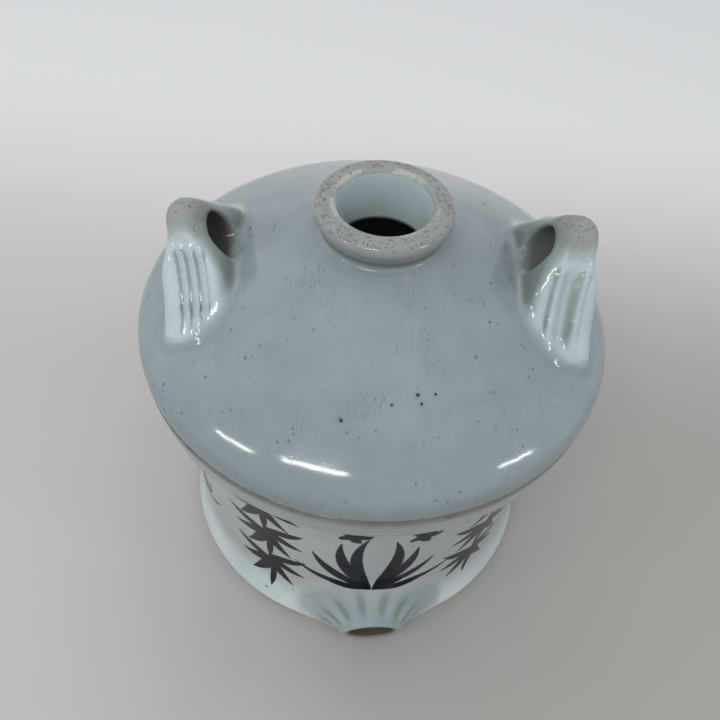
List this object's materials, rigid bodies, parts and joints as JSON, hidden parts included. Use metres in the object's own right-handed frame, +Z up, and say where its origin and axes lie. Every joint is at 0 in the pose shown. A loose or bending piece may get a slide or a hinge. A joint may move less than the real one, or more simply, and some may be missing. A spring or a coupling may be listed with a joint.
{
  "type": "ceramic wine jar",
  "caption": "Glazed ceramic wine jar with a conical shoulder, short collared mouth, strap ears for a rope and a lobed spigot boss low on the wall.",
  "frame": {"origin": "on the jar's axis, at the level that the foot ring stands on", "axes": "+Z up along the jar's axis through the mouth, the spigot boss faces -Y, the ears lie along X"},
  "size_m": [0.296, 0.296, 0.2976],
  "materials": {
    "shoulder_glaze": "pale blue-grey gloss glaze over fired porcelain clay, with iron specks and fine scratches",
    "wall_glaze": "thin warm-grey gloss glaze with cobalt blue brushwork",
    "worn_glaze": "gloss glaze worn matt and speckled brown on the crowns",
    "foot_glaze": "thicker blue-white gloss glaze",
    "bare_clay": "unglazed fired clay, matt"
  },
  "bodies": {
    "root": {"foot_ring": "bare_clay", "jar_floor": "bare_clay", "body_wall": "wall_glaze", "seam_bead": "shoulder_glaze", "shoulder_dome": "shoulder_glaze", "mouth_collar": "shoulder_glaze", "ear_left": "worn_glaze", "ear_right": "worn_glaze", "spigot_boss": "foot_glaze"}
  },
  "joints": []
}
